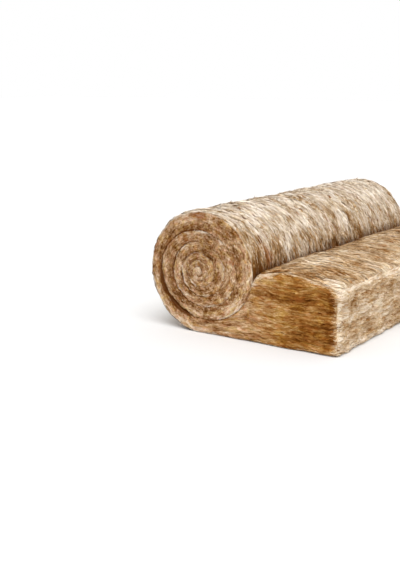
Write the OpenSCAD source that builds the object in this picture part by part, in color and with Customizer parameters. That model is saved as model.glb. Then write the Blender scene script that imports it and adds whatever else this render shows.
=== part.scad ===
// Mineral wool insulation roll with the free end of its blanket laid out flat.
// The blanket is one continuous mat. It comes off the floor at the foot of the roll, winds over the
// left side and the top, and closes in on itself turn by turn. Packing pressure squeezes the wound
// turns thin, and the loose end has sprung back to its full thickness.

/* [Roll] */
// Diameter over the outermost turn
roll_d = 380; // [300:5:480]
// Width of the blanket, which is the length of the roll
blanket_w = 1140; // [400:10:1200]
// Thickness of the outermost wound turn
outer_turn = 50; // [36:1:60]
// Thickness of the innermost wound turn
core_turn = 16; // [14:1:24]
// Radius at which the winding starts in the middle
core_r = 18; // [16:1:30]

/* [Loose end] */
// Thickness of the sprung-back blanket at its end
tail_t = 196; // [150:1:240]
// Distance from the axis of the roll to the cut end
tail_reach = 470; // [400:5:700]
// Height by which the middle of the loose end swells above its ends
tail_crown = 32; // [8:1:44]
// Rounding of the upper edge of the cut end
end_round = 22; // [10:1:40]

/* [Edges] */
// Rounding of the soft edges along both sides of the blanket
edge_round = 11; // [6:0.5:13]
// Width of each slanted lip where neighbouring turns meet on the ends of the roll
lip_w = 5; // [2:0.5:6]
// Depth of the slanted lips
lip_depth = 8; // [4:0.5:20]
// Width of the slit between neighbouring turns
slit_w = 2; // [1:0.5:2]
// Depth of the slit below the slanted lips
slit_depth = 14; // [6:1:40]

/* [Hidden] */
$fn = 96;

roll_r = roll_d / 2;
side_y = blanket_w / 2;
// Everything is drawn about the roll's axis line at x = 0, then centred over the floor
axis_x = (roll_r - tail_reach) / 2;
// Spare length by which a cutting or limiting solid passes the surface that it cuts
past = 3;

// The turns are drawn as circles about one axis. Each turn leaves its circle at the right flank and
// goes over to the next one by a quarter circle and a short flat at its foot.
function turn_t(r) = core_turn + (outer_turn - core_turn) * r / roll_r;
function turn_r(n) = n == 0 ? roll_r : turn_r(n - 1) - turn_t(turn_r(n - 1));
function last_turn(n = 1) = turn_r(n + 1) < core_r ? n : last_turn(n + 1);

// The top of the loose end is an arc from the roll's flank to the cut end
crown_chord = tail_reach - roll_r;
crown_r = (pow(crown_chord / 2, 2) + pow(tail_crown, 2)) / (2 * tail_crown);
crown_x = roll_r + crown_chord / 2;
crown_z = tail_t + tail_crown - crown_r;
// Height that clears the top of the loose end
tail_clear_z = tail_t + tail_crown + past;

// The top runs into the rounding of the cut end at a slant, measured from upright
end_slant = 40;
end_x = tail_reach - end_round;
end_meet_x = end_x + end_round * sin(end_slant);
end_meet_z = crown_z + sqrt(pow(crown_r, 2) - pow(end_meet_x - crown_x, 2));
end_z = end_meet_z - end_round * cos(end_slant);

// The first groove starts a little above the place where the flank goes down behind the loose end
nip_lead = 4;
nip_angle = asin((tail_t - roll_r) / turn_r(1)) + nip_lead;

// Turns a solid drawn in the section plane, with its width along Z, to lie along Y
module lay_down() {
    rotate([90, 0, 0]) children();
}

// Section of a round of wool from its axis to its skin, with soft outer edges
module turn_section(radius) {
    flat_y = side_y - edge_round;
    union() {
        translate([0, -side_y]) square([radius - edge_round, blanket_w]);
        translate([0, -flat_y]) square([radius, 2 * flat_y]);
        for (side = [-1, 1]) translate([radius - edge_round, side * flat_y]) circle(edge_round);
    }
}

// The wound part, over all its turns
module wound_roll() {
    translate([0, roll_r]) rotate_extrude() turn_section(roll_r);
}

// Outline of the loose end from the side: square, with the upper corner of the cut end rounded
module tail_outline() {
    union() {
        square([end_x, tail_clear_z]);
        square([tail_reach, end_z]);
        translate([end_x, end_z]) circle(end_round);
    }
}

// Limits the loose end from above to its swollen top, with soft edges along both sides
module tail_crown_limit() {
    translate([crown_x, crown_z]) rotate_extrude() turn_section(crown_r);
}

// Limits the loose end from below to its flat underside, with soft edges along both sides
module tail_floor_limit() {
    translate([0, tail_clear_z, 0]) rotate([0, 90, 0])
        linear_extrude(tail_reach) rotate(-90) turn_section(tail_clear_z);
}

// The squeezed part of the loose end under the roll
module tail_foot() {
    translate([0, 0, -side_y]) cube([crown_x, tail_t, blanket_w]);
}

// The loose end, from the foot of the roll to the cut end
module tail() {
    intersection() {
        translate([0, 0, -side_y]) linear_extrude(blanket_w) tail_outline();
        union() {
            tail_crown_limit();
            tail_foot();
        }
        tail_floor_limit();
    }
}

// Section of the groove where two puffed edges meet: two slanted lips and a slit between them
module groove_section(radius) {
    slit = slit_w / 2;
    mouth = slit + lip_w * (lip_depth + past) / lip_depth;
    floor_y = -lip_depth - slit_depth;
    translate([radius, side_y]) polygon([
        [-slit, floor_y], [slit, floor_y], [slit, -lip_depth],
        [mouth, past], [-mouth, past], [-slit, -lip_depth]
    ]);
}

// Cuts a stretch of groove round an axis, from one angle to another
module groove_round(radius, from, to) {
    rotate(from) rotate_extrude(angle = to - from) groove_section(radius);
}

// Cuts the short flat of groove at the foot of a turn
module groove_flat(radius, reach) {
    translate([reach, 0]) rotate([0, -90, 0]) linear_extrude(reach) rotate(-90) groove_section(radius);
}

// The groove over turn n: down from the flank, along its foot, then up the left side and round to the flank
module turn_groove(n, from) {
    lap = turn_r(n - 1) - turn_r(n);
    translate([0, roll_r]) {
        translate([lap, 0]) groove_round(turn_r(n), -90, from);
        groove_flat(turn_r(n), lap);
        groove_round(turn_r(n), 0, 270);
    }
}

// The winding line on one end of the roll, from the flank above the loose end to the core
module winding_groove() {
    for (n = [1 : last_turn()]) turn_groove(n, n == 1 ? nip_angle : 0);
}

// The whole blanket in one piece, wound up, with its turns showing on both ends
module wool_blanket() {
    color([0.72, 0.54, 0.34]) translate([axis_x, 0, 0]) lay_down() difference() {
        union() {
            wound_roll();
            tail();
        }
        for (end = [0, 1]) mirror([0, 0, end]) winding_groove();
    }
}

wool_blanket();
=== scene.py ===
# A roll of mineral wool insulation, lying on the floor with the outer end of its blanket unrolled.
# The blanket is cut as one flat mat, wound up, roughened and then covered with locks of loose fibre.
import math

import bmesh
import bpy
import numpy as np
from mathutils import Color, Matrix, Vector


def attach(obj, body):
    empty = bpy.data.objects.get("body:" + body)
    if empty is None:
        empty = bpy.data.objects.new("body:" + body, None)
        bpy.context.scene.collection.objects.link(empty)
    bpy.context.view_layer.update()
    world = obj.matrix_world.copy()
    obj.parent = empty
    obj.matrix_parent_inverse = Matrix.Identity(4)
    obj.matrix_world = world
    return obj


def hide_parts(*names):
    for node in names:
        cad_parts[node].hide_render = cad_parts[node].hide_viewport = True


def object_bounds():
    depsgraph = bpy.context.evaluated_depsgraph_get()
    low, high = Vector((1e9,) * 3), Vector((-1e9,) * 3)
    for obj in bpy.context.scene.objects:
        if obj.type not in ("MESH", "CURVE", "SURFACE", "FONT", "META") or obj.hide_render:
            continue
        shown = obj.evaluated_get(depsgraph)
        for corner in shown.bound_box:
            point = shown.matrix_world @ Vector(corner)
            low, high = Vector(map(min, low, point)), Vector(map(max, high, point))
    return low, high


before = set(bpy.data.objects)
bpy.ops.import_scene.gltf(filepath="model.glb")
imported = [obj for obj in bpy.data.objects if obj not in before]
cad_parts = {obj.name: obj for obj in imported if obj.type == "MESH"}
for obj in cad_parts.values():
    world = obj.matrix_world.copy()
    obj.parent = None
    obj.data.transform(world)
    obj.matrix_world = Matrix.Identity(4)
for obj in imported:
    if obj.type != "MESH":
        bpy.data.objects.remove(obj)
cad_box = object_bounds()

# Sizes of the mat in metres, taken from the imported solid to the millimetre
DIGITS = 3
cad_low, cad_high = cad_box
MAT_WIDTH = round(cad_high[1] - cad_low[1], DIGITS)
END_Y = MAT_WIDTH / 2
ROLL_RADIUS = round(cad_high[2] / 2, DIGITS)
AXIS_X = round(cad_low[0] + ROLL_RADIUS, DIGITS)
TAIL_REACH = round(cad_high[0] - AXIS_X, DIGITS)

# The winding is drawn about the roll's axis line, which stands on the floor. This is its middle.
CORE_X = -0.01
CORE_Z = 0.192
TURN_QUARTERS = 4
QUARTER = math.pi / 2
FULL_TURN = TURN_QUARTERS * QUARTER
# Radius of the winding at each quarter turn: foot, left side, top, right side, and so on into the core
WINDING = [
    0.192, 0.180, 0.188, 0.197,
    0.147, 0.141, 0.130, 0.138,
    0.107, 0.096, 0.096, 0.096,
    0.074, 0.063, 0.062, 0.061,
    0.047, 0.039, 0.037, 0.034,
    0.026, 0.021, 0.018, 0.013,
    0.006, 0.002, 0.0, 0.0,
]
WOUND_QUARTERS = len(WINDING) - TURN_QUARTERS - 1
WINDING_STEPS = 8000
# The roll's flank goes down behind the loose end at this angle from the foot
NIP_ANGLE = math.radians(272)

# Kinds of the mat's faces: its two skins, its sides and its cut end
SKIN, EDGE, CUT = 0, 1, 2
# Keeps the patterns of opposite faces apart
FACE_SHIFT = 7.3
# Room that is left between two turns
SLIT = 0.0001
# Stand for a length out of reach and for one too short to divide by
FAR = 99.0
TINY = 1e-9

HALF = 0.5
NOISE_CELLS = 256
# Layers of a swell: how much finer each one is than the first, and how strong
SWELL_LAYERS = ((1.0, 1.0), (2.1, 0.5), (4.3, 0.25))
# Cell size of a pattern in the direction in which it doesn't change
EVEN = 1.0


def smooth_step(low, high, value):
    """0 below low and 1 above high, with a soft change between them."""
    t = np.clip((value - low) / (high - low), 0, 1)
    return t * t * (3 - 2 * t)


def through(points, x):
    """Smooth curve through a few points, given as pairs of x and value."""
    xs, ys = np.array(points, dtype=float).T
    slope = np.gradient(ys, xs)
    i = np.clip(np.searchsorted(xs, x) - 1, 0, len(xs) - 2)
    step = xs[i + 1] - xs[i]
    t = np.clip((x - xs[i]) / step, 0, 1)
    rest = 1 - t
    ends = ys[i] * (1 + 2 * t) * rest ** 2 + ys[i + 1] * t ** 2 * (3 - 2 * t)
    return ends + step * t * rest * (slope[i] * rest - slope[i + 1] * t)


def wool_noise(x, y, seed):
    """Smooth noise from 0 to 1 over a plane, the same in every run."""
    table = np.random.default_rng(seed).random((NOISE_CELLS, NOISE_CELLS))
    x0 = np.floor(x).astype(int)
    y0 = np.floor(y).astype(int)
    fx = smooth_step(0, 1, x - x0)
    fy = smooth_step(0, 1, y - y0)
    x0, x1 = x0 % NOISE_CELLS, (x0 + 1) % NOISE_CELLS
    y0, y1 = y0 % NOISE_CELLS, (y0 + 1) % NOISE_CELLS
    low = table[x0, y0] * (1 - fx) + table[x1, y0] * fx
    high = table[x0, y1] * (1 - fx) + table[x1, y1] * fx
    return low * (1 - fy) + high * fy


def wool_swell(x, y, seed):
    """Noise from -1 to 1 in layers, each finer than the one before."""
    total = 0.0
    middle = 0.0
    for layer, (finer, strength) in enumerate(SWELL_LAYERS):
        total = total + strength * wool_noise(finer * x, finer * y, seed + layer)
        middle = middle + strength / 2
    return total / middle - 1


class Grain:
    """A pattern of the wool: length and width of its cells, its seed, its strength and its least value."""

    def __init__(self, long, wide, seed, strength=1.0, least=0.0):
        self.long = long
        self.wide = wide
        self.seed = seed
        self.strength = strength
        self.least = least

    def noise(self, along, across=0.0):
        """From the least value upwards, by the strength at most."""
        return self.least + self.strength * wool_noise(along / self.long, across / self.wide, self.seed)

    def swell(self, along, across=0.0):
        """From minus the strength to plus the strength."""
        return self.strength * wool_swell(along / self.long, across / self.wide, self.seed)


# The winding as a table of angle, radius and length of mat from the foot
QUARTER_POINTS = list(enumerate(WINDING))
ANGLES = np.linspace(0, WOUND_QUARTERS * QUARTER, WINDING_STEPS)
RADII = through(QUARTER_POINTS, ANGLES / QUARTER)
LENGTHS = np.concatenate([[0], np.cumsum((RADII[1:] + RADII[:-1]) / 2 * np.diff(ANGLES))])
MAT_INNER = LENGTHS[-1]
MAT_CUT = CORE_X - TAIL_REACH


def angle_at(u):
    """Angle of the winding at a length along the mat."""
    return np.interp(u, LENGTHS, ANGLES)


def radius_at(u):
    """Radius of the winding at a length along the mat."""
    return np.interp(u, LENGTHS, RADII)


def length_at(angle):
    """Length of mat from the foot to an angle of the winding."""
    return np.interp(angle, ANGLES, LENGTHS)


def winding_point(angle):
    """Point of the winding line in the plane of the roll's end."""
    radius = through(QUARTER_POINTS, angle / QUARTER)
    return np.stack([CORE_X - radius * np.sin(angle), CORE_Z - radius * np.cos(angle)], axis=-1)


NIP_LENGTH = length_at(NIP_ANGLE)
NIP_X, NIP_Z = winding_point(np.array(NIP_ANGLE))
# Length along the mat at which the top of the loose end comes out from under the roll
TAIL_NIP = CORE_X - NIP_X
# Top of the loose end, from the nip to the cut end
TAIL_TOP = [
    (NIP_X, NIP_Z), (0.200, 0.206), (0.226, 0.222), (0.268, 0.231), (0.315, 0.231),
    (0.365, 0.225), (0.410, 0.213), (0.445, 0.204), (TAIL_REACH, 0.199),
]


def mat_faces(u):
    """Outer and inner face of the mat at a length along it. The loose end has negative lengths."""
    angle = angle_at(u)
    x = CORE_X - np.minimum(u, 0)
    lap = np.clip((x - CORE_X) / (NIP_X - CORE_X), 0, 1)
    under_roll = winding_point(FULL_TURN - lap * (FULL_TURN - NIP_ANGLE))
    on_top = np.stack([x, through(TAIL_TOP, x)], axis=-1)
    tail_outer = np.stack([x, np.zeros_like(x)], axis=-1)
    tail_inner = np.where((x < NIP_X)[..., None], under_roll, on_top)
    loose = (u < 0)[..., None]
    outer = np.where(loose, tail_outer, winding_point(angle))
    inner = np.where(loose, tail_inner, winding_point(angle + FULL_TURN))
    return outer, inner


def mat_thickness(u):
    outer, inner = mat_faces(u)
    return np.linalg.norm(inner - outer, axis=-1)


def by_nip(u, inner, on_top, on_roll):
    """Soft change by the length past the nip, on top of the loose end or on the roll's skin."""
    return np.where(inner, smooth_step(*on_top, u - TAIL_NIP), smooth_step(*on_roll, u - NIP_LENGTH))


def near_angle(angle, middle, low, high):
    """Soft change by the cosine of how far an angle lies from a middle one."""
    return smooth_step(low, high, np.cos(angle - middle))


# Lengths past the nip between which the two faces go out of sight
SHOWN = ((0.0, -0.05), (0.03, -0.02))


def skin_shown(u, inner):
    """1 where a face of the mat lies open, and 0 where it lies against the next turn."""
    return by_nip(u, inner, *SHOWN)


# Soft rounding of the mat's edges: on and under the loose end, at the roll's rim, and where two turns meet
TAIL_ROUND = 0.03
FOOT_ROUND = 0.012
RIM_ROUND = 0.0075
RIM_STARTS = (-0.1, 0.05)
TAIL_BLEND = (0.1, 0.8)
SHUT_GAP = 0.0012
SIDE_GAP = 0.004
WIDE_GAP = 0.015
# Gaps in turns from the foot: where the first one starts and ends, and where the outer ones end
FIRST_STARTS = (0.0, 0.05)
FIRST_ENDS = (1.0, 0.8)
OUTER_END = (3.6, 1.6)
# Where a gap is widest, and how far round the roll that reaches
LOWER_LEFT = math.radians(46)
LEFT_SIDE = math.radians(80)
WIDE_ROUND = (0.45, 0.98)
SIDE_ROUND = (-0.2, 0.9)
GAP_RAGS = Grain(0.22, EVEN, 12, 0.6, 0.65)
SHUT_RAGS = Grain(0.08, EVEN, 11, 1.0, 0.4)
SHUT_ROW = 3.5


def face_softness(u, inner):
    """Rounding along one face of the mat. Two turns part most at the lower left, hardly at the right."""
    angle = angle_at(u)
    gap = np.where(inner, angle, angle - FULL_TURN)
    turns = gap / FULL_TURN
    first_gap = smooth_step(*FIRST_ENDS, turns) * smooth_step(*FIRST_STARTS, turns)
    outer_gaps = smooth_step(*OUTER_END, turns)
    wide = WIDE_GAP * GAP_RAGS.noise(gap) * first_gap * near_angle(gap, LOWER_LEFT, *WIDE_ROUND)
    left = SIDE_GAP * outer_gaps * near_angle(gap, LEFT_SIDE, *SIDE_ROUND)
    between = SHUT_GAP * SHUT_RAGS.noise(u, SHUT_ROW) + left + wide
    loose_edge = np.where(inner, TAIL_ROUND, FOOT_ROUND)
    open_edge = loose_edge + (RIM_ROUND - loose_edge) * smooth_step(*RIM_STARTS, u)
    shown = skin_shown(u, inner)
    return shown * open_edge + (1 - shown) * between


def edge_softness(u, v):
    """Rounding of the mat's edges at a point, from that of its two faces."""
    towards_inner = np.where(u < 0, smooth_step(*TAIL_BLEND, v), v > HALF)
    return face_softness(u, False) * (1 - towards_inner) + face_softness(u, True) * towards_inner


# The lips of a gap, on the mat's inner and outer face, and how far the painted shade reaches into their
# rounding
SHADED_LIPS = ((True, 0.8), (False, 0.3))
FULL_SHADE = 0.3
WIDE_SOFTNESS = (0.0045, 0.012)
FAINT_DEPTH = (0.006, 0.001)
FAINT_SHADE = Grain(0.04, EVEN, 13, 0.95)


def painted_gap_shade(u, q):
    """How much painted shade darkens the lips of two turns, from 0 to 1: most on the outer lip of the wide
    gap.
    """
    shade = np.zeros_like(u)
    for inner, reach in SHADED_LIPS:
        depth = mat_thickness(u) - q if inner else q
        soft = face_softness(u, inner)
        hidden = 1 - skin_shown(u, inner)
        wide = smooth_step(*WIDE_SOFTNESS, soft) * hidden
        shade = np.maximum(shade, wide * smooth_step(reach, FULL_SHADE * reach, depth / soft))
        faint = FAINT_SHADE.noise(u) * hidden
        shade = np.maximum(shade, faint * smooth_step(*FAINT_DEPTH, depth))
    return shade * (u > 0)


# The fibres on top of the loose end lie at a slant to its length
TAIL_LAY = math.radians(-28)
# The fibres run in waves, with a height on the skins, on the roll's ends and on the loose end's sides
FIBRE_WAVES = Grain(0.085, 0.085, 95)
SKIN_WAVE = 0.011
TURN_WAVE = 0.0015
TAIL_WAVE = 0.011
TAIL_WAVES_START = (-0.05, -0.22)
# The flecks on the roll's ends are this many times shorter than on the skins
SHORT_FIBRE = 1.7
SLANT_STEP = 0.003


def fibre_place(along, across, wave, lay=0.0):
    """Place on the fibre map, along the fibre and across it, where the fibre lies at a slant in waves."""
    run = along * np.cos(lay) + across * np.sin(lay)
    off = across * np.cos(lay) - along * np.sin(lay)
    return run, off + wave * FIBRE_WAVES.swell(run, off)


def skin_map(u, y, inner):
    return fibre_place(u + FACE_SHIFT * inner, y, SKIN_WAVE, TAIL_LAY * inner)


def end_map(u, q, back):
    wave = TURN_WAVE + (TAIL_WAVE - TURN_WAVE) * smooth_step(*TAIL_WAVES_START, u)
    return fibre_place(np.where(u > 0, SHORT_FIBRE * u, u) + FACE_SHIFT * back, q, wave)


def cut_map(y, q):
    return fibre_place(y, q, SKIN_WAVE)


def fibre_slant(place, along, across):
    """Angle at which the fibre runs on a face, from how its map changes there."""
    rise = place(along + SLANT_STEP, across)[1] - place(along - SLANT_STEP, across)[1]
    run = place(along, across + SLANT_STEP)[1] - place(along, across - SLANT_STEP)[1]
    return -np.arctan2(rise, run)


# Relief of the skins: lumps that are lower near the rims, bunches of fibre, and pits in some areas
SKIN_LUMPS = Grain(0.13, 0.15, 31)
RIM_LUMP = 0.0018
MORE_LUMP = 0.003
LUMPS_GROW = (0.0, 0.15)
SKIN_BUNCHES = Grain(0.06, 0.02, 34, 0.0036)
PITS = Grain(0.034, 0.0105, 22)
PIT_EDGE = (0.24, 0.06)
PIT_AREAS = Grain(0.1, 0.08, 23)
PIT_AREA_EDGE = (0.34, 0.6)
PIT_DEPTH = 0.0055
# The mat is pressed flat where it lies on the floor
FLOOR_REACH = (0.02, -0.03)
FLOOR_PRESS = 0.002
# Relief of the roll's ends, of the loose end's sides with their strata, and of the torn cut end
TURN_SWELL = Grain(0.16, EVEN, 41, 0.0045)
END_FIBRES = Grain(0.019, 0.007, 44, 0.0032)
TAIL_STRATA = Grain(0.11, 0.015, 51, 0.0038)
TAIL_TUFTS = Grain(0.036, 0.007, 54, 0.0026)
STRATA_START = (0.02, -0.1)
CUT_TEARS = Grain(0.055, 0.04, 61, 0.0075)
CUT_TUFTS = Grain(0.022, 0.012, 64, 0.0045)


def skin_pits(run, off):
    """Short hollows along the fibre, from 0 to 1."""
    rare = smooth_step(*PIT_AREA_EDGE, PIT_AREAS.noise(run, off))
    return smooth_step(*PIT_EDGE, PITS.noise(run, off)) * rare


def skin_relief(u, y, inner):
    """Height of the skin over the mat's plain face. Faces against the next turn stay clear of it."""
    shown = skin_shown(u, inner)
    on_floor = np.where(inner, 0, smooth_step(*FLOOR_REACH, u))
    run, off = skin_map(u, y, inner)
    lump = RIM_LUMP + MORE_LUMP * smooth_step(*LUMPS_GROW, END_Y - np.abs(y))
    lumps = lump * SKIN_LUMPS.swell(run, off)
    bunches = SKIN_BUNCHES.swell(run, off)
    pits = -PIT_DEPTH * skin_pits(run, off)
    free = shown * (1 - on_floor) * (lumps + bunches + pits)
    return free - (1 - shown) * SLIT - FLOOR_PRESS * on_floor


def end_relief(u, q, back):
    """Height of the wool on the ends of the roll and along the sides of the loose end."""
    loose = smooth_step(*STRATA_START, u)
    run, off = end_map(u, q, back)
    fibres = END_FIBRES.swell(run, off)
    strata = TAIL_STRATA.swell(run, off)
    tufts = TAIL_TUFTS.swell(run, off)
    return TURN_SWELL.swell(run) + (1 - loose) * fibres + loose * (strata + tufts)


def cut_relief(y, q):
    """Height of the torn wool on the cut end of the mat."""
    return CUT_TEARS.swell(y, q) + CUT_TUFTS.swell(y, q)


def unit(vectors):
    return vectors / np.maximum(np.linalg.norm(vectors, axis=-1, keepdims=True), TINY)


# An edge is rounded by at most this share of the mat's thickness
MOST_ROUND = 0.45


def mat_place(u, v, y, lift=0.0):
    """Wound-up place of a point of the flat mat: u along it, v through its thickness and y across it.

    The second result says how far the point faces along the mat, through it and across it.
    """
    thick = mat_thickness(u)
    soft = np.minimum(edge_softness(u, v), MOST_ROUND * thick)
    flat = np.stack([u - MAT_CUT, v * thick, END_Y - np.abs(y)], axis=-1)
    low = np.stack([soft, soft, soft], axis=-1)
    high = np.stack([np.full_like(soft, FAR), thick - soft, np.full_like(soft, FAR)], axis=-1)
    heart = np.clip(flat, low, high)
    out = unit(flat - heart)
    rounded = heart + out * soft[..., None]
    u_round = rounded[..., 0] + MAT_CUT
    q_round = rounded[..., 1]
    y_round = np.sign(y) * (END_Y - rounded[..., 2])
    outer, inner = mat_faces(u_round)
    through_mat = unit(inner - outer)
    onward = np.stack([-through_mat[..., 1], through_mat[..., 0]], axis=-1)
    share = np.abs(out)
    relief = (share[..., 1] * skin_relief(u_round, y, v > HALF)
              + share[..., 2] * end_relief(u_round, q_round, y > 0)
              + share[..., 0] * cut_relief(y, q_round))
    height = (relief + lift)[..., None]
    section = outer + through_mat * q_round[..., None]
    section = section + height * (out[..., 1:2] * through_mat + out[..., 0:1] * onward)
    wide = y_round - height[..., 0] * out[..., 2] * np.sign(y)
    return np.stack([section[..., 0] + AXIS_X, wide, np.maximum(section[..., 1], 0.0)], axis=-1), share


# Browner spots of binder: place along and across the face, half length and half width
SKIN_SPOTS = [(0.825, -0.480, 0.032, 0.022)]
END_SPOTS = [(length_at(FULL_TURN / 2), 0.012, 0.036, 0.013), (CORE_X - 0.350, 0.157, 0.016, 0.010)]
SPOT_EDGE = (1.3, 0.5)
# Small scattered specks of binder
SKIN_SPECKS = Grain(0.045, 0.014, 73)
END_SPECKS = Grain(0.045, 0.014, 84)
SPECK_EDGE = (0.86, 0.97)
SPECK_SHARE = 0.8
# Patches on the skin, on top of the loose end, on the roll's front end and on the cut end, each with its
# place along and across the face, its half length and half width, and by how much it is paler
SKIN_PATCHES = [
    (0.815, -0.370, 0.035, 0.035, 0.08), (0.735, -0.525, 0.075, 0.035, -0.13),
    (0.840, -0.535, 0.040, 0.040, -0.09), (0.805, -0.160, 0.030, 0.050, -0.28),
    (0.755, -0.195, 0.030, 0.040, 0.24), (0.730, -0.250, 0.018, 0.022, -0.40),
    (0.645, -0.055, 0.015, 0.030, -0.40), (0.705, -0.050, 0.018, 0.022, -0.40),
    (0.605, -0.405, 0.008, 0.045, -0.45), (0.770, 0.065, 0.035, 0.035, 0.22),
    (0.770, 0.005, 0.045, 0.025, -0.22), (0.800, 0.145, 0.030, 0.040, -0.25),
    (0.645, -0.345, 0.030, 0.060, 0.14),
]
# The first patch on top of the loose end is painted shade, a brown band beside the crevice
TOP_PATCHES = [
    (-0.210, 0.030, 0.035, 0.100, -0.45), (-0.205, -0.130, 0.025, 0.060, -0.22),
    (-0.315, -0.390, 0.050, 0.100, 0.16), (-0.345, -0.210, 0.060, 0.090, 0.12),
    (-0.455, -0.540, 0.045, 0.045, 0.20), (-0.220, -0.515, 0.030, 0.050, -0.25),
]
END_PATCHES = [
    (1.000, 0.021, 0.045, 0.016, 0.30), (0.735, 0.058, 0.030, 0.010, 0.25),
    (2.520, 0.027, 0.020, 0.010, 0.25), (2.160, 0.024, 0.050, 0.006, 0.35),
    (2.735, 0.012, 0.040, 0.007, 0.25), (0.695, 0.013, 0.060, 0.012, -0.18),
    (1.100, 0.020, 0.060, 0.016, -0.18), (-0.240, 0.205, 0.070, 0.030, 0.10),
    (-0.170, 0.030, 0.050, 0.025, 0.14), (-0.360, 0.157, 0.050, 0.012, -0.15),
    (-0.460, 0.100, 0.030, 0.060, -0.15), (-0.455, 0.170, 0.020, 0.030, -0.12),
    (-0.270, 0.120, 0.070, 0.020, 0.06), (-0.375, 0.040, 0.060, 0.020, -0.15),
    (0.100, 0.008, 0.130, 0.014, 0.30),
]
CUT_PATCHES = [(-0.455, 0.155, 0.035, 0.030, -0.14)]
PATCH_EDGE = (1.5, 0.3)
PATCH_RAGS = Grain(0.04, 0.03, 97, 0.4)


def from_spot(along, across, spot):
    """Distance from the middle of a spot, 1 at its edge."""
    along_at, across_at, half_long, half_wide = spot
    return np.hypot((along - along_at) / half_long, (across - across_at) / half_wide)


def binder(along, across, spots, specks):
    """Browner spots, from 0 to 1: the large ones by their place, and small ones scattered."""
    found = SPECK_SHARE * smooth_step(*SPECK_EDGE, specks.noise(along, across))
    for spot in spots:
        found = np.maximum(found, smooth_step(*SPOT_EDGE, from_spot(along, across, spot)))
    return found


def placed(along, across, patches):
    """How much paler a face is at a point for the patches on it, which have ragged edges."""
    ragged = PATCH_RAGS.swell(along, across)
    paler = np.zeros_like(along)
    for *spot, by in patches:
        paler = paler + by * smooth_step(*PATCH_EDGE, from_spot(along, across, spot) + ragged)
    return paler


def face_values(tone, hollow=0.0, side=0.0, loose=0.0, binder=0.0):
    """Values of a face by name, one for each point: how pale it is, how much painted shade and stain darken
    it, and so on.
    """
    others = {"hollow": hollow, "side": side, "loose": loose, "binder": binder}
    return {"tone": tone, **{name: value + 0 * tone for name, value in others.items()}}


# Paleness of the skin on the roll and on top of the loose end, with clouds on it
SKIN_TONE = 0.54
TOP_TONE = 0.45
SKIN_CLOUDS = Grain(0.07, 0.04, 72, 0.26)
BROAD_CLOUDS = Grain(0.17, 0.1, 75, 0.12)
# Painted light makes it palest at the top of the roll, and it is also palest along the cut end
CREST = math.radians(182)
CREST_ROUND = (0.6, 0.99)
CREST_PAINTED_LIGHT = 0.15
BY_CUT = (0.065, 0.01)
CUT_PALER = 0.24
# It is browner along the rims, and painted shade makes it browner in ragged tongues beside the crevice
# between loose end and roll
RIM_REACH = (0.075, 0.0)
RIM_RAGS = Grain(0.06, 0.06, 71, 0.8, 0.6)
RIM_BROWNER = 0.19
CREVICE_SIDE_SHADE = ((-0.07, -0.01), (-0.11, -0.04))
SHADE_TONGUES = Grain(EVEN, 0.04, 76, 1.0, 0.5)
TOP_CREVICE_SHADE = 0.2
ROLL_CREVICE_SHADE = 0.22
# Painted shade makes it dark within the crevice and in the pits
CREVICE_SHADE_REACH = ((-0.035, -0.01), (-0.065, -0.025))
NIP_PAINTED_SHADE = 0.65
PIT_PAINTED_SHADE = 0.7


def skin_values(u, y, inner):
    """Paleness and other values of the skin: browner near its rims, with painted light at the top of the
    roll and painted shade in and beside the crevice and in the pits.
    """
    run, off = skin_map(u, y, inner)
    rims = smooth_step(*RIM_REACH, END_Y - np.abs(y)) * RIM_RAGS.noise(u, y)
    beside = by_nip(u, inner, *CREVICE_SIDE_SHADE) * SHADE_TONGUES.noise(0.0, y)
    within = by_nip(u, inner, *CREVICE_SHADE_REACH)
    lit_crest = np.where(inner, 0.0, near_angle(angle_at(u), CREST, *CREST_ROUND))
    by_cut = np.where(inner, smooth_step(*BY_CUT, u - MAT_CUT), 0.0)
    patches = SKIN_CLOUDS.swell(run, off) + BROAD_CLOUDS.swell(run, off)
    patches = patches + np.where(inner, placed(u, y, TOP_PATCHES), placed(u, y, SKIN_PATCHES))
    tone = np.where(inner, TOP_TONE, SKIN_TONE) + patches + CREST_PAINTED_LIGHT * lit_crest + CUT_PALER * by_cut
    tone = tone - RIM_BROWNER * rims * (1 - lit_crest) * (1 - by_cut)
    return face_values(
        tone=tone - np.where(inner, TOP_CREVICE_SHADE, ROLL_CREVICE_SHADE) * beside,
        hollow=np.maximum(NIP_PAINTED_SHADE * within, PIT_PAINTED_SHADE * skin_pits(run, off)),
        loose=np.where(u < 0, 1.0, 0.0),
        binder=binder(u + FACE_SHIFT * inner, y, SKIN_SPOTS, SKIN_SPECKS))


# Depth to which the pale skin wraps round the edges: in the roll, at its rim and round the loose end
TURN_WRAP = 0.0075
RIM_WRAP = 0.01
TOP_WRAP = 0.026
FOOT_WRAP = 0.009
CUT_WRAP = 0.02
# The wrapped edges are ragged, some turns have none, and the rim is brown at the upper right
LIP_RAGS = Grain(0.05, 0.02, 81)
LIP_LEAST = 0.15
LIP_MORE = 1.7
LIP_POWER = 1.5
LIP_EDGE = (1.0, 0.2)
TURN_LIP = 0.65
MORE_RIM_LIP = 0.35
WRAP_RAGS = Grain(0.07, EVEN, 85)
WRAP_EDGE = (0.38, 0.68)
CUT_RAGS = Grain(EVEN, 0.035, 86, 0.8, 0.6)
UPPER_RIGHT = math.radians(222)
BROWN_RIM_ROUND = (0.55, 0.95)
BROWN_RIM = 0.8
# Where the side of the loose end begins, grows shaded and goes over to amber
TAIL_SIDE = (-0.06, -0.16)
TAIL_SHADE = (-0.24, -0.4)
TAIL_AMBER = (-0.08, -0.32)
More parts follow.
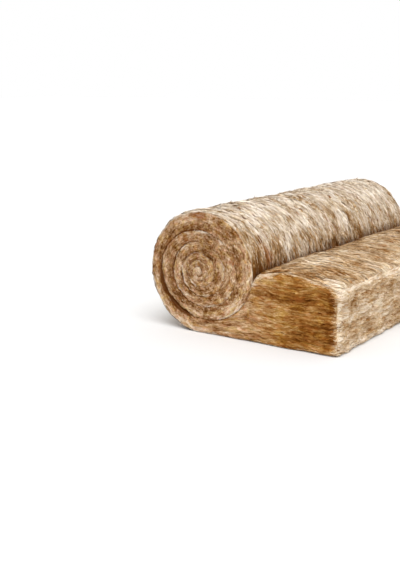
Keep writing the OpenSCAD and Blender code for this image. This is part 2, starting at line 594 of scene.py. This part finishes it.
# Paleness of the ends, with a pale band along each turn, a pale core and clouds
END_TONE = 0.5
CORE_RADII = (0.045, 0.015)
CORE_PALER = 0.18
SHADE_BROWNER = 0.12
TAIL_PALER = 0.06
LIP_PALER = 0.16
TURN_BANDS = Grain(0.09, EVEN, 87)
BAND_AT = 0.3
BAND_PALER = 0.22
END_CLOUDS = Grain(0.09, 0.022, 82)
CLOUD_TONE = 0.11
LESS_TAIL_CLOUD = 0.01
# Painted shade in the gaps between turns
GAP_PAINTED_SHADE = 0.8


def end_values(u, q, back):
    """The same on the ends of the roll: pale where the skin wraps round an edge and in the core, with
    painted shade in the gaps between turns.
    """
    run, off = end_map(u, q, back)
    tail = smooth_step(*TAIL_SIDE, u)
    ragged = LIP_LEAST + LIP_MORE * LIP_RAGS.noise(run, off) ** LIP_POWER
    rim = skin_shown(u, False)
    brown_rim = near_angle(angle_at(u), UPPER_RIGHT, *BROWN_RIM_ROUND)
    wrap = TURN_WRAP * smooth_step(*WRAP_EDGE, WRAP_RAGS.noise(u)) * (1 - rim)
    wrap = wrap + RIM_WRAP * rim * (1 - BROWN_RIM * brown_rim)
    over_foot = q / (wrap * (1 - tail) + FOOT_WRAP * tail + SLIT)
    over_top = np.where(u < TAIL_NIP, mat_thickness(u) - q, FAR) / TOP_WRAP
    over_cut = (u - MAT_CUT) / (CUT_WRAP * CUT_RAGS.noise(0.0, q))
    depth = np.minimum(np.minimum(over_foot, over_top) / ragged, over_cut)
    lips = smooth_step(*LIP_EDGE, depth) * (TURN_LIP + MORE_RIM_LIP * rim)
    band = np.cos(FULL_TURN * (q / mat_thickness(u) - BAND_AT)) * TURN_BANDS.noise(u)
    core = smooth_step(*CORE_RADII, radius_at(u))
    shade = smooth_step(*TAIL_SHADE, u)
    patches = (CLOUD_TONE - LESS_TAIL_CLOUD * tail) * END_CLOUDS.swell(run, off)
    patches = patches + placed(u + FACE_SHIFT * back, q, END_PATCHES)
    tone = END_TONE + CORE_PALER * core - SHADE_BROWNER * shade + TAIL_PALER * tail + patches
    return face_values(
        tone=tone + LIP_PALER * lips + BAND_PALER * band * (1 - tail),
        hollow=GAP_PAINTED_SHADE * painted_gap_shade(u, q),
        side=1 - lips,
        loose=smooth_step(*TAIL_AMBER, u),
        binder=binder(u + FACE_SHIFT * back, q, END_SPOTS, END_SPECKS))


# Paleness of the cut end
CUT_TONE = 0.59
CUT_RIM = (0.034, 0.008)
CUT_RIM_PALER = 0.32
CUT_CLOUDS = Grain(0.07, 0.05, 91, 0.22)


def cut_values(y, q):
    """The same on the cut end: palest along its rims."""
    run, off = cut_map(y, q)
    to_skin = np.minimum(q, mat_thickness(np.full_like(q, MAT_CUT)) - q)
    rims = smooth_step(*CUT_RIM, np.minimum(END_Y - np.abs(y), to_skin))
    patches = CUT_CLOUDS.swell(run, off) + placed(y, q, CUT_PATCHES)
    return face_values(tone=CUT_TONE + CUT_RIM_PALER * rims + patches, loose=1.0)


# Sockets of a node that mixes colours
MIX_SHARE, MIX_FIRST, MIX_SECOND, MIX_COLOUR = 0, 6, 7, 2
# Output of an attribute node that has its number
ATTRIBUTE_NUMBER = 2


class Wire:
    """A socket of a node tree that takes part in Python sums."""

    def __init__(self, tree, socket=None):
        self.tree = tree
        self.socket = socket

    def node(self, kind, settings, sockets, out=0):
        """Any node: its settings are set first, then the values or links of its sockets."""
        made = self.tree.nodes.new("ShaderNode" + kind)
        for name, value in settings.items():
            if name == "stops":
                self.set_stops(made.color_ramp.elements, value)
            else:
                setattr(made, name, value)
        for name, value in sockets.items():
            if isinstance(value, Wire):
                self.tree.links.new(value.socket, made.inputs[name])
            else:
                made.inputs[name].default_value = value
        return Wire(self.tree, made.outputs[out] if made.outputs else None)

    def set_stops(self, elements, stops):
        """A ramp's stops, each a position and a colour, with the first and last at its ends."""
        for position, colour in stops[1:-1]:
            elements.new(position).color = colour
        elements[0].color = stops[0][1]
        elements[-1].color = stops[-1][1]

    def other(self, name):
        """Another output of the same node."""
        return Wire(self.tree, self.socket.node.outputs[name])

    def maths(self, operation, first, second):
        return self.node("Math", {"operation": operation}, {0: first, 1: second})

    def __add__(self, other):
        return self.maths("ADD", self, other)

    def __radd__(self, other):
        return self.maths("ADD", other, self)

    def __mul__(self, other):
        return self.maths("MULTIPLY", self, other)

    def __rmul__(self, other):
        return self.maths("MULTIPLY", other, self)

    def step(self, low, high):
        """0 at low and 1 at high, with a soft change between them."""
        return self.node("MapRange", {"interpolation_type": "SMOOTHSTEP"},
                         {"Value": self, "From Min": low, "From Max": high})

    def mix(self, first, second, blend="MIX"):
        """Two colours, blended as far as this value says."""
        return self.node("Mix", {"data_type": "RGBA", "blend_type": blend},
                         {MIX_SHARE: self, MIX_FIRST: first, MIX_SECOND: second}, out=MIX_COLOUR)


SCREEN_STEPS = 255


def paint(red, green, blue):
    """Colour given as a screen shows it, from 0 to 255."""
    shown = Color((red, green, blue)) / SCREEN_STEPS
    return (*shown.from_srgb_to_scene_linear(), 1.0)


# Shades of the wool from its shaded depths to its palest fibres: on the skins and on the sides of the mat,
# each in the roll and at the loose end
DYE_LEVELS = (0.0, 0.28, 0.5, 0.72, 1.0)
CREAM = ((114, 72, 30), (174, 138, 96), (211, 190, 163), (236, 221, 202), (254, 245, 232))
STRAW = ((108, 64, 24), (166, 122, 76), (203, 170, 130), (226, 202, 170), (250, 236, 216))
TAN = ((76, 38, 10), (134, 89, 48), (181, 140, 99), (215, 181, 143), (246, 226, 200))
AMBER = ((74, 34, 4), (124, 74, 26), (160, 110, 54), (190, 146, 88), (230, 196, 148))
# Brown of the binder, and of the painted shade in hollows and of the few stained locks
BINDER = paint(158, 92, 42)
BINDER_SHARE = 0.65
SHADE_AND_STAIN_BROWN = paint(104, 56, 18)
SHADE_AND_STAIN_EDGE = (0.1, 0.95)
# Stains that vary the hue, fainter on the skins than on the sides
ROSY = (1.0, 0.88, 0.86, 1.0)
GOLDEN = (1.0, 0.97, 0.74, 1.0)
SKIN_STAIN = 0.25
MORE_SIDE_STAIN = 0.75
STAIN_EDGE = (0.5, 0.66)
# Streaks along the fibre: their length and width in metres, their detail, and a shift that sets them apart
FINE_STREAKS = (0.018, 0.003, 2.0, 0.0)
BROAD_STREAKS = (0.046, 0.0095, 2.0, 31.0)
LONG_STREAKS = (0.11, 0.045, 1.0, 57.0)
ROSY_STREAKS = (0.034, 0.012, 1.0, 83.0)
GOLDEN_STREAKS = (0.046, 0.017, 1.0, 109.0)
# How the streaks and the paleness of a face add up to a level of its dye
FINE_SHARE = 0.36
BROAD_SHARE = 0.38
LONG_SHARE = 0.26
CONTRAST = 2.2
TONE_SHARE = 0.75
# Shares of the streaks in the roughness that light shows
FINE_BUMP = 0.6
BROAD_BUMP = 0.4


def mineral_wool():
    """Mineral wool: streaks along the fibre, dyed by their paleness, brown at the binder, and painted shade
    brown in hollows and at a few stained locks.
    """
    material = bpy.data.materials.new("mineral_wool")
    material.use_nodes = True
    tree = material.node_tree
    tree.nodes.clear()
    start = Wire(tree)
    place = start.node("UVMap", {"uv_map": "fibre"}, {})

    def value(attribute):
        return start.node("Attribute", {"attribute_name": attribute}, {}, out=ATTRIBUTE_NUMBER)

    def streaks(long, wide, detail, shift):
        drawn = start.node("Mapping", {}, {
            "Vector": place, "Scale": (1 / long, 1 / wide, 1), "Location": (shift, shift, 0)})
        return start.node("TexNoise", {"noise_dimensions": "2D"}, {
            "Vector": drawn, "Scale": 1.0, "Detail": detail, "Roughness": 0.6, "Distortion": 0.25})

    fine = streaks(*FINE_STREAKS)
    broad = streaks(*BROAD_STREAKS)
    pattern = FINE_SHARE * fine + BROAD_SHARE * broad + LONG_SHARE * streaks(*LONG_STREAKS)
    balance = HALF - HALF * CONTRAST - HALF * TONE_SHARE
    level = CONTRAST * pattern + TONE_SHARE * value("tone") + balance

    def dyed(shades):
        stops = [(position, paint(*shade)) for position, shade in zip(DYE_LEVELS, shades)]
        return start.node("ValToRGB", {"stops": stops}, {"Fac": level})

    loose = value("loose")
    skin = loose.mix(dyed(CREAM), dyed(STRAW))
    side = loose.mix(dyed(TAN), dyed(AMBER))
    colour = value("side").mix(skin, side)
    stained = SKIN_STAIN + MORE_SIDE_STAIN * value("side")
    colour = (stained * streaks(*ROSY_STREAKS).step(*STAIN_EDGE)).mix(colour, ROSY, "MULTIPLY")
    colour = (stained * streaks(*GOLDEN_STREAKS).step(*STAIN_EDGE)).mix(colour, GOLDEN, "MULTIPLY")
    colour = (BINDER_SHARE * value("binder")).mix(colour, BINDER)
    # Painted shade in the crevice, gaps, pits and hidden faces, and the stain of a few dark locks
    colour = value("hollow").step(*SHADE_AND_STAIN_EDGE).mix(colour, SHADE_AND_STAIN_BROWN)
    rough = start.node("Bump", {}, {
        "Strength": 0.5, "Distance": 0.004, "Height": FINE_BUMP * fine + BROAD_BUMP * broad})
    shader = start.node("BsdfPrincipled", {}, {
        "Base Color": colour, "Roughness": 0.95, "Normal": rough, "Specular IOR Level": 0.0})
    start.node("OutputMaterial", {}, {"Surface": shader})
    return material


WOOL = mineral_wool()

# How finely the mat is cut before it is wound, along it, through it and across it
STATION = 0.0054
CORE_STEP = math.radians(9)
ROLL_ROWS = 11
TAIL_ROWS = 46
SKIN_COLUMNS = 202
EDGE_DEPTHS = (0.002, 0.005, 0.009, 0.015, 0.024, 0.038)
# Skin that is cut finely past the nip
SPARE_SKIN = 0.06
# How near to a plane counts as on it, and the share of an edge that has to run along an axis
NEAR = 1e-4
CUT_NEAR = 1e-6
ALONG_SHARE = 0.99


def stations():
    """Lengths along the mat at which it is cut across, closer together in the core."""
    found = list(np.linspace(MAT_CUT, 0, round(-MAT_CUT / STATION) + 1))
    while found[-1] < MAT_INNER:
        found.append(found[-1] + min(STATION, radius_at(found[-1]) * CORE_STEP))
    return np.array(found)


def edges_along(mat, axis, chosen):
    """Edges of the flat mat that run along one axis and whose middle is chosen."""
    found = []
    for edge in mat.edges:
        start, end = edge.verts[0].co, edge.verts[1].co
        along = abs(end[axis] - start[axis]) > ALONG_SHARE * (end - start).length
        if along and chosen((start + end) / 2):
            found.append(edge)
    return found


def flat_mat(lengths):
    """The mat as it is cut: a flat slab, one unit thick and one unit long for each station.

    Its sides have rows through the thickness, and the skin that shows has columns.
    """
    count = len(lengths) - 1
    foot = int(np.searchsorted(lengths, 0))
    shown_outer = int(np.searchsorted(lengths, NIP_LENGTH + SPARE_SKIN))
    shown_inner = int(np.searchsorted(lengths, TAIL_NIP + SPARE_SKIN))

    def on_cut(at):
        return at.x < HALF

    def on_side(at):
        return abs(at.y) > END_Y - NEAR

    def on_roll_side(at):
        return on_side(at) and at.x > foot + HALF

    def on_tail_side(at):
        return on_cut(at) or on_side(at) and at.x < foot + HALF

    def on_shown_skin(at):
        on_top = at.z > 1 - NEAR and at.x < shown_inner
        on_roll = at.z < NEAR and foot < at.x < shown_outer
        return abs(at.y) < NEAR and (on_cut(at) or on_top or on_roll)

    mat = bmesh.new()
    bmesh.ops.create_cube(mat, size=1)
    bmesh.ops.translate(mat, vec=(HALF, 0, HALF), verts=mat.verts)
    bmesh.ops.scale(mat, vec=(count, MAT_WIDTH, 1), verts=mat.verts)
    lengthwise = edges_along(mat, 0, lambda at: True)
    bmesh.ops.subdivide_edges(mat, edges=lengthwise, cuts=count - 1, use_grid_fill=True)
    for depth in EDGE_DEPTHS:
        for side in (-1, 1):
            bmesh.ops.bisect_plane(mat, geom=[*mat.verts, *mat.edges, *mat.faces], dist=CUT_NEAR,
                                   plane_co=(0, side * (END_Y - depth), 0), plane_no=(0, 1, 0))
    for axis, chosen, rows in ((2, on_roll_side, ROLL_ROWS), (2, on_tail_side, TAIL_ROWS),
                               (1, on_shown_skin, SKIN_COLUMNS)):
        edges = edges_along(mat, axis, chosen)
        bmesh.ops.subdivide_edges(mat, edges=edges, cuts=rows - 1, use_grid_fill=True)
    mat.normal_update()
    for face in mat.faces:
        facing = [abs(part) for part in face.normal]
        face.material_index = (CUT, EDGE, SKIN)[facing.index(max(facing))]
        face.smooth = True
    bmesh.ops.reverse_faces(mat, faces=mat.faces)
    return mat


def add_fibre_map(mesh, along, across):
    """UV map in metres, given for each corner: along the fibre and across it."""
    pairs = np.stack([along, across], axis=-1).astype(np.float32)
    mesh.uv_layers.new(name="fibre").data.foreach_set("uv", pairs.ravel())


def flat_points(mesh):
    """Places of a mesh's vertices while it is still flat."""
    places = np.empty((len(mesh.vertices), 3), dtype=np.float32)
    mesh.vertices.foreach_get("co", places.ravel())
    return places.astype(float)


def set_points(mesh, places):
    mesh.vertices.foreach_set("co", places.astype(np.float32).ravel())


def whole_numbers(items, name):
    """One whole number from each of a mesh's faces or corners."""
    numbers = np.empty(len(items), dtype=np.int32)
    items.foreach_get(name, numbers)
    return numbers


def in_scene(name, data):
    """An object in the scene, from its mesh, lamp or camera."""
    made = bpy.data.objects.new(name, data)
    bpy.context.scene.collection.objects.link(made)
    return made


def wool_piece(name, mesh, values):
    """A finished piece of wool, with named numbers for each vertex that its material reads."""
    for value, numbers in values.items():
        numbers = np.ravel(numbers).astype(np.float32)
        mesh.attributes.new(value, "FLOAT", "POINT").data.foreach_set("value", numbers)
    mesh.materials.append(WOOL)
    mesh.update()
    return in_scene(name, mesh)


def wound_blanket(name):
    """The whole blanket: the flat mat, wound up and roughened."""
    lengths = stations()
    mat = flat_mat(lengths)
    mesh = bpy.data.meshes.new(name)
    mat.to_mesh(mesh)
    mat.free()
    flat = flat_points(mesh)
    u = np.interp(flat[:, 0], np.arange(len(lengths)), lengths)
    v = np.clip(flat[:, 2], 0, 1)
    y = np.clip(flat[:, 1], -END_Y, END_Y)
    q = v * mat_thickness(u)
    inner = v > HALF
    places, share = mat_place(u, v, y)
    set_points(mesh, places)
    corner = whole_numbers(mesh.loops, "vertex_index")
    sizes = whole_numbers(mesh.polygons, "loop_total")
    kind = np.repeat(whole_numbers(mesh.polygons, "material_index"), sizes)
    maps = np.stack([skin_map(u, y, inner), end_map(u, q, y > 0), cut_map(y, q)])
    add_fibre_map(mesh, maps[kind, 0, corner], maps[kind, 1, corner])
    faces = (cut_values(y, q), skin_values(u, y, inner), end_values(u, q, y > 0))
    weights = share / share.sum(axis=-1, keepdims=True)
    values = {}
    for value in faces[0]:
        values[value] = sum(weights[:, axis] * face[value] for axis, face in enumerate(faces))
    # Painted shade on the faces that lie against the next turn, seen in the gaps
    values["hollow"] = np.maximum(values["hollow"], share[:, 1] * (1 - skin_shown(u, inner)))
    mesh.polygons.foreach_set("material_index", np.zeros(len(mesh.polygons), dtype=np.int32))
    return wool_piece(name, mesh, values)


# A lock of fibre from root to tip: where it is measured, how wide it is and how far it lifts
LOCK_STEPS = (0.0, 0.36, 0.7, 1.0)
LOCK_TAPER = (0.45, 1.0, 0.85, 0.12)
LOCK_LIFT = (-0.3, 0.8, 1.0, 1.0)
# A lock bows sideways by up to half this share of its length, in an arch that is 1 high in its middle
BOW_SHARE = 0.35
ARCH = 4
# Lift of the tips, and the share of them that stand off and by how much more
TIP_LEAST = 0.2
TIP_MORE = 1.3
STRAY_TIPS = 0.04
STRAY_MORE = 2.2
LOCK_SEED = 101
# Height over a face at which its outward side is found
PROBE = 0.002


def flat_locks(name, count):
    """Flat ribbons, cut from one grid. X counts the steps along them, and Y counts their long edges."""
    rungs = len(LOCK_STEPS) - 1
    rows = 2 * count - 1
    ribbons = bmesh.new()
    bmesh.ops.create_grid(ribbons, x_segments=rungs, y_segments=rows, size=HALF)
    bmesh.ops.translate(ribbons, vec=(HALF, HALF, 0), verts=ribbons.verts)
    bmesh.ops.scale(ribbons, vec=(rungs, rows, 1), verts=ribbons.verts)
    between = [face for face in ribbons.faces if int(face.calc_center_median().y) % 2]
    bmesh.ops.delete(ribbons, geom=between, context="FACES")
    for face in ribbons.faces:
        face.smooth = True
    mesh = bpy.data.meshes.new(name)
    ribbons.to_mesh(mesh)
    ribbons.free()
    return mesh


def locks_of_wool(name, surface, place, start, across, length, width, rise, stray, values):
    """Locks of loose fibre that lie along a face: thin tapered ribbons, joined in one mesh."""
    steps = np.array(LOCK_STEPS)
    count = len(start)
    rng = np.random.default_rng(len(name) * LOCK_SEED)
    bow = (rng.random(count) - HALF) * BOW_SHARE * length
    tip = TIP_LEAST + TIP_MORE * rng.random(count) ** 2 + STRAY_MORE * (rng.random(count) < STRAY_TIPS)
    run = length[:, None] * (steps - HALF)
    side = bow[:, None] * ARCH * steps * (1 - steps)
    swing = (fibre_slant(place, start, across) + stray)[:, None]
    cos, sin = np.cos(swing), np.sin(swing)
    along = start[:, None] + run * cos - side * sin
    over = across[:, None] + run * sin + side * cos
    half = width[:, None] / 2 * np.array(LOCK_TAPER)
    lift = rise[:, None] * np.array(LOCK_LIFT)
    lift[:, -1] = rise * tip
    left = surface(along + half * sin, over - half * cos, lift)
    right = surface(along - half * sin, over + half * cos, lift)
    outward = surface(along, over, lift + PROBE) - surface(along, over, lift)
    facing = np.cross(left[:, 2] - left[:, 1], right[:, 1] - left[:, 1])
    if np.mean(np.sum(facing * outward[:, 1], axis=-1)) < 0:
        left, right = right, left
    mesh = flat_locks(name, count)
    flat = np.rint(flat_points(mesh)).astype(int)
    step, edge = flat[:, 0], flat[:, 1]
    lock = edge // 2
    set_points(mesh, np.where((edge % 2)[:, None], right[lock, step], left[lock, step]))
    corner = whole_numbers(mesh.loops, "vertex_index")
    run, off = place(along, over)
    add_fibre_map(mesh, run[lock, step][corner], off[lock, step][corner])
    return wool_piece(name, mesh, {value: numbers[lock] for value, numbers in values.items()})


def spread(rng, count, low, high):
    """Random numbers between two limits."""
    return low + (high - low) * rng.random(count)


# Locks are a little paler than their face, and a few are dark and stained
LOCK_PALER = 0.04
DARK_BROWNER = 0.35
DARK_STAIN = (0.15, 0.75)


def lock_values(rng, values, clumps, speckle, dark_share):
    """Values of the locks from those of the face under them, with clumps and some dark locks."""
    count = len(clumps)
    dark = rng.random(count) < dark_share
    tone = values["tone"] + clumps + speckle * rng.standard_normal(count) + LOCK_PALER
    stained = np.where(dark, spread(rng, count, *DARK_STAIN), 0.0)
    tone = np.where(dark, tone - DARK_BROWNER, tone)
    return {**values, "tone": tone, "hollow": np.maximum(values["hollow"], stained)}


# Locks on the skin: where they start and end on the roll, and their sizes from the thin to the thick ones
SKIN_LOCKS_FROM = 0.02
SKIN_LOCKS_PAST_NIP = 0.01
PIT_WITHOUT_LOCKS = 0.25
THICK_POWER = 2.5
SKIN_LENGTH = (0.014, 0.046)
THICK_LONGER = 0.012
SKIN_WIDTH = 0.0013
THICK_WIDER = 0.0052
SKIN_RISE = (0.0008, 0.0034)
THICK_HIGHER = 0.002
SKIN_STRAY = 0.17
SKIN_CLUMP = (0.045, 0.0075)
SKIN_CLUMP_TONE = 0.17
SKIN_SPECKLE = 0.05
SKIN_DARK = 0.025


def skin_locks(name, inner, low, high, count, seed):
    """Locks on the skin, on the outer face of the roll or on top of the loose end."""
    rng = np.random.default_rng(seed)
    u = spread(rng, count, low, high)
    y = spread(rng, count, -END_Y, END_Y)
    run, off = skin_map(u, y, inner)
    kept = skin_pits(run, off) < PIT_WITHOUT_LOCKS
    u, y, run, off = u[kept], y[kept], run[kept], off[kept]
    count = len(u)

    def surface(along, over, lift):
        return mat_place(along, np.full_like(along, float(inner)), np.clip(over, -END_Y, END_Y), lift)[0]

    def place(along, over):
        return skin_map(along, over, inner)

    clumps = Grain(*SKIN_CLUMP, seed + 1, SKIN_CLUMP_TONE).swell(run, off)
    thick = rng.random(count) ** THICK_POWER
    return locks_of_wool(
        name, surface, place, u, y,
        length=spread(rng, count, *SKIN_LENGTH) + THICK_LONGER * thick,
        width=SKIN_WIDTH + THICK_WIDER * thick,
        rise=spread(rng, count, *SKIN_RISE) + THICK_HIGHER * thick,
        stray=SKIN_STRAY * rng.standard_normal(count),
        values=lock_values(rng, skin_values(u, y, inner), clumps, SKIN_SPECKLE, SKIN_DARK))


# Locks on the ends reach over to the next turn where the gap between them is narrower than this
BRIDGED_GAP = 0.0022
# Places that are tried for each lock, and the thickness of mat at which every one of them is taken
TRIES = 6
FULL_THICKNESS = 0.235
LOOSE_LOCKS = (0.0, -0.1)
FROM_CUT = 0.003
LOCK_DEPTHS = (0.02, 0.98)
# Sizes of the locks on the ends, and how they change on the loose end
END_LENGTH = (0.005, 0.016)
LOOSE_LONGER = 2.6
LONGEST_ROUND = 0.7
END_WIDTH = (0.001, 0.0024)
LOOSE_WIDER = 0.25
END_RISE = (0.0008, 0.003)
END_STRAY = 0.45
LOOSE_LESS_STRAY = 0.27
END_CLUMP_LONG = 0.016
LOOSE_CLUMP_LONGER = 0.036
END_CLUMP_WIDE = 0.0055
END_CLUMP_TONE = 0.24
LOOSE_LESS_CLUMP = 0.08
END_SPECKLE = 0.11
LOOSE_LESS_SPECKLE = 0.05
DARK_SHARE = 0.03


def across_turns(u, q):
    """The same place, counted on a neighbouring turn where a depth runs past a shut gap."""
    angle = angle_at(u)
    thick = mat_thickness(u)
    u_next = length_at(angle + FULL_TURN)
    u_before = length_at(angle - FULL_TURN)
    shut_inside = face_softness(u, True) < BRIDGED_GAP
    shut_outside = face_softness(u, False) < BRIDGED_GAP
    past = (q > thick) & (u > 0) & (angle + FULL_TURN < ANGLES[-1]) & shut_inside
    short = (q < 0) & (angle > FULL_TURN) & shut_outside
    along = np.where(past, u_next, np.where(short, u_before, u))
    depth = np.where(past, q - thick, np.where(short, mat_thickness(u_before) + q, q))
    return along, depth


def end_locks(name, back, count, seed):
    """Locks along the winding on one end of the roll, and along the strata of the loose end."""
    rng = np.random.default_rng(seed)
    end_y = END_Y if back else -END_Y
    tries = spread(rng, TRIES * count, MAT_CUT, MAT_INNER)
    u = tries[rng.random(len(tries)) < mat_thickness(tries) / FULL_THICKNESS][:count]
    count = len(u)
    loose = smooth_step(*LOOSE_LOCKS, u)
    u = np.maximum(u, MAT_CUT + FROM_CUT)
    length = spread(rng, count, *END_LENGTH) * (1 + LOOSE_LONGER * loose)
    length = np.minimum(length, 2 * (u - MAT_CUT))
    q = rng.random(count) * mat_thickness(u)

    def surface(along, over, lift):
        turn_u, turn_q = across_turns(along, over)
        turn_v = np.clip(turn_q / mat_thickness(turn_u), *LOCK_DEPTHS)
        return mat_place(turn_u, turn_v, np.full_like(turn_u, end_y), lift)[0]

    def place(along, over):
        return end_map(along, over, back)

    clump = Grain(END_CLUMP_LONG + LOOSE_CLUMP_LONGER * loose, END_CLUMP_WIDE, seed + 1)
    clumps = (END_CLUMP_TONE - LOOSE_LESS_CLUMP * loose) * clump.swell(*place(u, q))
    speckle = END_SPECKLE - LOOSE_LESS_SPECKLE * loose
    return locks_of_wool(
        name, surface, place, u, q,
        length=np.minimum(length, LONGEST_ROUND * radius_at(u)),
        width=spread(rng, count, *END_WIDTH) * (1 + LOOSE_WIDER * loose),
        rise=spread(rng, count, *END_RISE),
        stray=(END_STRAY - LOOSE_LESS_STRAY * loose) * rng.standard_normal(count),
        values=lock_values(rng, end_values(u, q, back), clumps, speckle, DARK_SHARE))


# Tangle in the middle of the winding: how far it spreads, the sizes of its locks and its looks
TUFT_SPREAD = 0.0045
TUFT_LENGTH = (0.007, 0.016)
TUFT_WIDTH = (0.001, 0.0024)
TUFT_RISE = (0.0004, 0.0034)
TUFT_TONE = 0.64
TUFT_SIDE = 0.8
TUFT_CLUMPS = (-0.2, 0.2)
TORN_SPECKLE = 0.07


def core_tuft(name, back, count, seed):
    """Tangled locks that close the middle of the winding."""
    rng = np.random.default_rng(seed)
    outward = 1 if back else -1
    level = float(end_relief(np.array(MAT_INNER), np.array(0.0), back))
    along = TUFT_SPREAD * rng.standard_normal(count)
    over = TUFT_SPREAD * rng.standard_normal(count)

    def surface(right_of, above, lift):
        x = AXIS_X + CORE_X + right_of
        return np.stack([x, outward * (END_Y + level + lift), CORE_Z + above], axis=-1)

    def place(right_of, above):
        return right_of, above

    values = face_values(tone=np.full(count, TUFT_TONE), side=TUFT_SIDE)
    return locks_of_wool(
        name, surface, place, along, over,
        length=spread(rng, count, *TUFT_LENGTH),
        width=spread(rng, count, *TUFT_WIDTH),
        rise=spread(rng, count, *TUFT_RISE),
        stray=spread(rng, count, 0, FULL_TURN),
        values=lock_values(rng, values, spread(rng, count, *TUFT_CLUMPS),
                           TORN_SPECKLE, DARK_SHARE))


# Locks on the cut end
CUT_LENGTH = (0.012, 0.034)
CUT_WIDTH = (0.0012, 0.0034)
CUT_RISE = (0.0012, 0.005)
CUT_STRAY = 0.45
CUT_CLUMP = (0.04, 0.01)
CUT_CLUMP_TONE = 0.22


def cut_locks(name, count, seed):
    """Locks on the torn end of the mat."""
    rng = np.random.default_rng(seed)
    y = spread(rng, count, -END_Y, END_Y)
    end_thick = float(mat_thickness(np.array(MAT_CUT)))
    q = spread(rng, count, 0, end_thick)

    def surface(along, over, lift):
        return mat_place(np.full_like(along, MAT_CUT), np.clip(over / end_thick, 0, 1),
                         np.clip(along, -END_Y, END_Y), lift)[0]

    clumps = Grain(*CUT_CLUMP, seed + 1, CUT_CLUMP_TONE).swell(*cut_map(y, q))
    return locks_of_wool(
        name, surface, cut_map, y, q,
        length=spread(rng, count, *CUT_LENGTH),
        width=spread(rng, count, *CUT_WIDTH),
        rise=spread(rng, count, *CUT_RISE),
        stray=CUT_STRAY * rng.standard_normal(count),
        values=lock_values(rng, cut_values(y, q), clumps, TORN_SPECKLE, DARK_SHARE))


# Number of locks on each face of the blanket
ROLL_LOCKS = 30000
TOP_LOCKS = 11000
END_LOCKS = 24000
CUT_LOCKS = 9000
TUFT_LOCKS = 160

blanket = wound_blanket("wool_blanket_mat")
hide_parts("wool_blanket")
pieces = [
    blanket,
    skin_locks("roll_skin_locks", inner=False, low=SKIN_LOCKS_FROM,
               high=NIP_LENGTH + SKIN_LOCKS_PAST_NIP, count=ROLL_LOCKS, seed=201),
    skin_locks("tail_top_locks", inner=True, low=MAT_CUT, high=TAIL_NIP, count=TOP_LOCKS, seed=301),
    end_locks("front_end_locks", back=False, count=END_LOCKS, seed=401),
    end_locks("back_end_locks", back=True, count=END_LOCKS, seed=501),
    cut_locks("cut_end_locks", count=CUT_LOCKS, seed=601),
    core_tuft("front_core_tuft", back=False, count=TUFT_LOCKS, seed=701),
    core_tuft("back_core_tuft", back=True, count=TUFT_LOCKS, seed=801),
]
for piece in pieces:
    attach(piece, "root")

# A plain pale floor
FLOOR_SIZE = 30.0
floor_shape = bmesh.new()
bmesh.ops.create_grid(floor_shape, x_segments=1, y_segments=1, size=FLOOR_SIZE)
floor_mesh = bpy.data.meshes.new("floor")
floor_shape.to_mesh(floor_mesh)
floor_shape.free()
floor_material = bpy.data.materials.new("pale_floor")
floor_material.use_nodes = True
floor_finish = floor_material.node_tree.nodes["Principled BSDF"].inputs
floor_finish["Base Color"].default_value = (0.82, 0.82, 0.82, 1)
floor_finish["Roughness"].default_value = 0.9
floor_finish["Specular IOR Level"].default_value = 0.0
floor_mesh.materials.append(floor_material)
in_scene("floor", floor_mesh)

# Soft light from all round, which looks white, with a broad lamp above on the right
AMBIENT = 0.7
WHITE = (1, 1, 1, 1)
LAMP_AIM = Vector((-0.32, 0.42, -1.0))
scene = bpy.context.scene
world = bpy.data.worlds.new("studio")
scene.world = world
world.use_nodes = True
world.node_tree.nodes.clear()
sky = Wire(world.node_tree)
ray = sky.node("LightPath", {}, {})
seen = ray.maths("MAXIMUM", ray, ray.other("Is Glossy Ray"))
seen = ray.maths("MAXIMUM", seen, ray.other("Is Transmission Ray"))
backdrop = sky.node("Background", {}, {"Color": WHITE, "Strength": AMBIENT + (1 - AMBIENT) * seen})
sky.node("OutputWorld", {}, {"Surface": backdrop})
lamp = bpy.data.lights.new("broad_lamp", "SUN")
lamp.energy = 2.2
lamp.angle = math.radians(50)
in_scene("broad_lamp", lamp).rotation_euler = LAMP_AIM.to_track_quat("-Z", "Y").to_euler()

# The camera looks at the front end of the roll from the right and a little above
FOCAL_PIXELS = 900
PICTURE_HEIGHT = 570
SENSOR = 36.0
VIEW_TURN = math.radians(34.89)
VIEW_RISE = math.radians(12.74)
VIEW_DISTANCE = 14.5965 * ROLL_RADIUS
AIM_RIGHT = -0.015 * ROLL_RADIUS
AIM_UP = -0.1941 * ROLL_RADIUS
back = Vector((math.sin(VIEW_TURN) * math.cos(VIEW_RISE), -math.cos(VIEW_TURN) * math.cos(VIEW_RISE),
               math.sin(VIEW_RISE)))
right = Vector((math.cos(VIEW_TURN), math.sin(VIEW_TURN), 0))
aim = Vector((AXIS_X, -END_Y, ROLL_RADIUS)) + AIM_RIGHT * right + AIM_UP * back.cross(right)
camera = bpy.data.cameras.new("camera")
camera.sensor_width = SENSOR
camera.lens = FOCAL_PIXELS / PICTURE_HEIGHT * SENSOR
camera_stand = in_scene("camera", camera)
camera_stand.location = aim + VIEW_DISTANCE * back
camera_stand.rotation_euler = (-back).to_track_quat("-Z", "Y").to_euler()
scene.camera = camera_stand

scene.view_settings.view_transform = "Standard"
